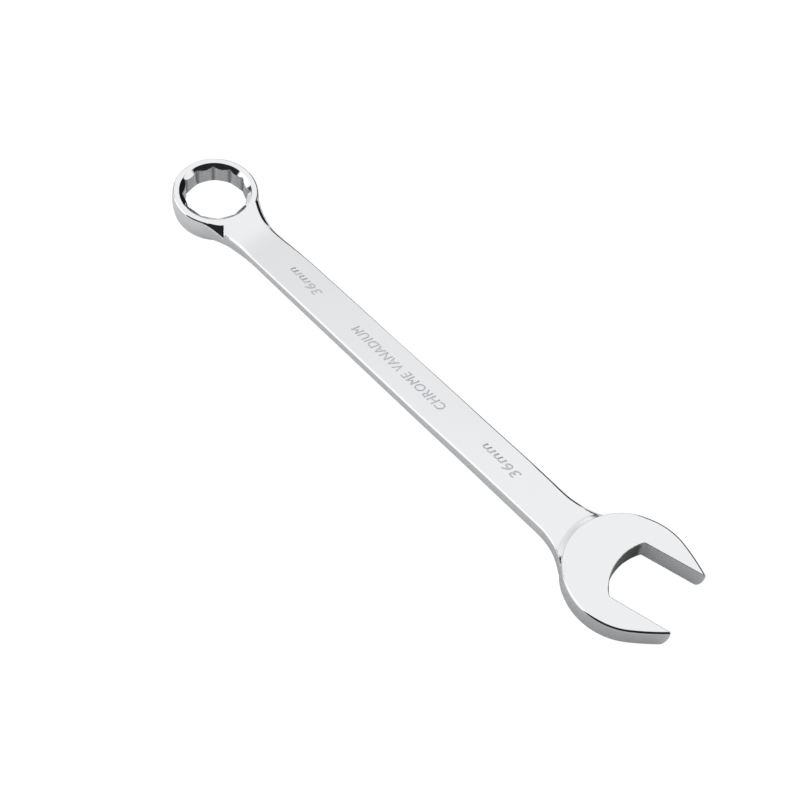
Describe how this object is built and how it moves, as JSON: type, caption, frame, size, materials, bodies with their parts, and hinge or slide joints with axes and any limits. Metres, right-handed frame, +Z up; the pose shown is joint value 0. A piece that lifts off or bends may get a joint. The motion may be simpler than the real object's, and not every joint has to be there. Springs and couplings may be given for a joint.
{
  "type": "combination wrench",
  "caption": "Chrome combination wrench: an open jaw set at an angle at one end and a tilted twelve-point ring at the other, forged in one piece.",
  "frame": {"origin": "middle of the bounding box in plan, on the plane of the bench the wrench rests on", "axes": "+X along the shank from the open jaw to the ring, +Z up, away from the bench"},
  "size_m": [0.4172, 0.0662, 0.0276],
  "materials": {
    "polished_chrome": "mirror-polished chrome plate"
  },
  "bodies": {
    "root": {"wrench_forging": "polished_chrome"}
  },
  "joints": []
}
